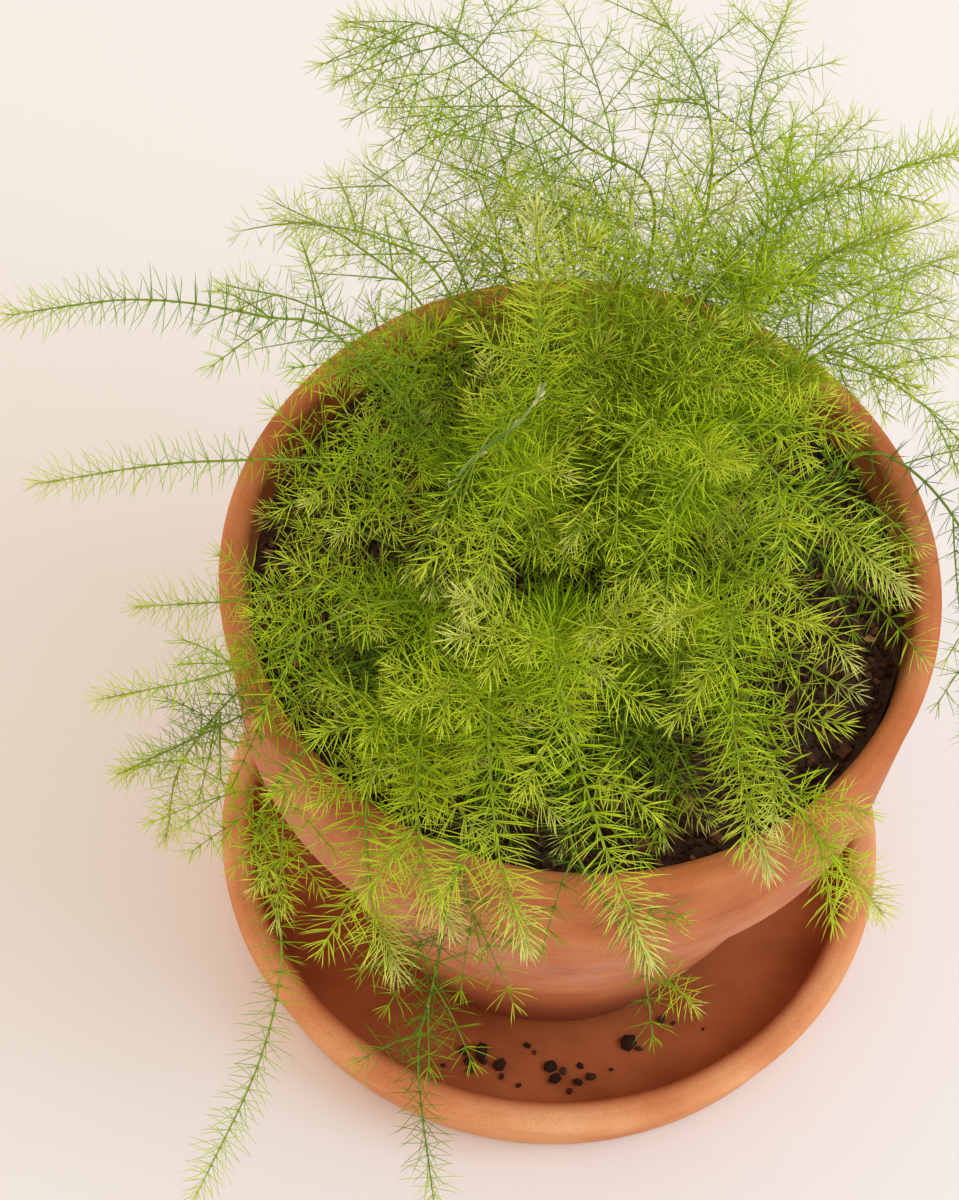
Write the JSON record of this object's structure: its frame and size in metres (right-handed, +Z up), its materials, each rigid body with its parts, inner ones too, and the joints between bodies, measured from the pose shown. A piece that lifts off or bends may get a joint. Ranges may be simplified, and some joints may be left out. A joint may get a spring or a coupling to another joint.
{
  "type": "potted asparagus fern",
  "caption": "Asparagus fern in a round terracotta pot on a deep saucer: arching leafy stems with fine needles over dark soil.",
  "frame": {"origin": "middle of the saucer's flat underside", "axes": "+Z up along the pot's axis, -Y towards the side that faces the viewer, +X to that viewer's right"},
  "size_m": [0.219, 0.2659, 0.2132],
  "materials": {
    "terracotta": "matte unglazed fired clay",
    "saucer_clay": "matte unglazed fired clay",
    "soil": "damp peat and bark",
    "fresh_green": "soft satin young needles",
    "old_green": "soft satin older needles"
  },
  "bodies": {
    "root": {"pot": "terracotta", "saucer": "saucer_clay", "soil": "soil", "stem_back_plume": "old_green", "stem_back_middle": "old_green", "stem_back_right": "old_green", "stem_back_low": "old_green", "stem_right_high": "fresh_green", "stem_right_upper": "fresh_green", "stem_right_back": "old_green", "stem_right_middle": "fresh_green", "stem_right_over_rim": "old_green", "stem_front_bright": "fresh_green", "stem_front_arch": "fresh_green", "stem_front_long": "fresh_green", "stem_front_right": "fresh_green", "stem_inner_right": "fresh_green", "stem_inner_front": "old_green", "stem_olive_right": "old_green", "stem_over_front": "fresh_green", "stem_front_left": "fresh_green", "stem_front_left_low": "fresh_green", "stem_left_hook": "fresh_green", "stem_front_dark": "old_green", "stem_front_trailing": "old_green", "stem_left_long": "fresh_green", "stem_left_second": "fresh_green", "stem_left_third": "fresh_green", "stem_left_pale": "fresh_green", "stem_left_dark": "old_green", "stem_left_low": "fresh_green", "stem_left_trailing": "fresh_green", "stem_top_left": "fresh_green", "stem_crown": "fresh_green", "stem_centre": "fresh_green"}
  },
  "joints": []
}
